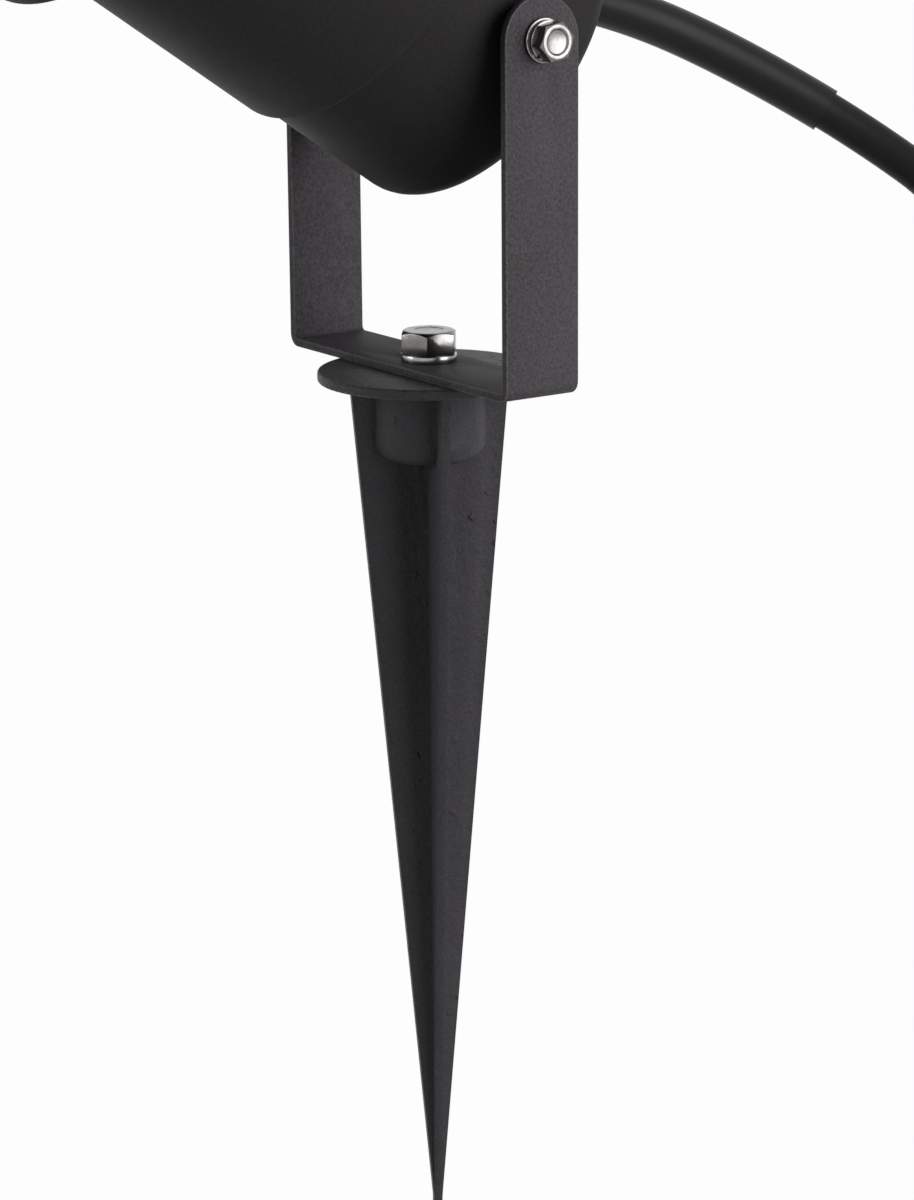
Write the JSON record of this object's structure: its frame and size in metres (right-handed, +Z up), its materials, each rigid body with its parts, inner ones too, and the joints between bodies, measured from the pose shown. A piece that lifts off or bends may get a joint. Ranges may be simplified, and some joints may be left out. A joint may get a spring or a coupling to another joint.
{
  "type": "garden spike spotlight",
  "caption": "Outdoor spotlight with a stepped round metal head tilting in a U-shaped bar bracket that swivels on a cross-finned ground spike, with a rubber cable and plug.",
  "frame": {"origin": "on the spike's axis at the underside of its disc, where the ground comes to", "axes": "+Z up along the spike, X along the tilt axis between the bracket's arms, the lamp looks towards -Y and up"},
  "size_m": [0.1733, 0.4068, 0.418],
  "materials": {
    "coat": "dark grey fine-textured powder coat",
    "head_coat": "near-black satin powder coat",
    "steel": "bright stainless",
    "glass": "clear toughened",
    "silicone": "matte",
    "reflector": "bright faceted reflector",
    "burner": "quartz capsule",
    "ceramic": "glazed ceramic",
    "nickel": "nickel plated",
    "terminal": "natural nylon",
    "brass": "bright",
    "nut_plastic": "black nylon",
    "cable": "matte black rubber",
    "sleeve": "satin black heat-shrink",
    "plug": "matte black rubber",
    "lead_brown": "insulation",
    "lead_blue": "insulation",
    "lead_green": "insulation"
  },
  "bodies": {
    "spike": {"spike": "coat", "base_bolt": "steel", "base_spring_washer": "steel"},
    "bracket": {"bracket": "coat", "cable_free": "cable", "cable_sleeve": "sleeve", "cable_coil": "cable", "plug_body": "plug", "plug_pin_left": "nickel", "plug_pin_right": "nickel", "plug_earth_left": "brass", "plug_earth_right": "brass"},
    "head": {"housing": "head_coat", "front_ring": "head_coat", "front_glass": "glass", "glass_gasket": "silicone", "ring_screw_1": "steel", "ring_screw_2": "steel", "ring_screw_3": "steel", "lamp_reflector": "reflector", "lamp_burner": "burner", "lamp_base": "ceramic", "lamp_pin_left": "nickel", "lamp_pin_right": "nickel", "lamp_holder": "ceramic", "holder_bar": "steel", "bar_screw_left": "steel", "bar_screw_right": "steel", "terminal_block": "terminal", "earth_screw": "brass", "entry_nut": "nut_plastic", "cable_seal": "silicone", "cable_inner": "cable", "lead_live": "lead_brown", "lead_earth": "lead_green", "lead_neutral": "lead_blue", "side_washer_left": "steel", "side_washer_right": "steel", "side_spring_washer_left": "steel", "side_spring_washer_right": "steel", "side_bolt_left": "steel", "side_bolt_right": "steel"}
  },
  "joints": [
    {"name": "swivel", "type": "hinge", "parent": "spike", "child": "bracket", "pos_m": [0, 0, 0.0035], "axis": [0, 0, 1], "range_deg": [-180, 180]},
    {"name": "tilt", "type": "hinge", "parent": "bracket", "child": "head", "pos_m": [0, 0, 0.083], "axis": [-1, 0, 0], "range_deg": [-49, 64], "deforming": ["cable_free", "cable_sleeve"]}
  ]
}
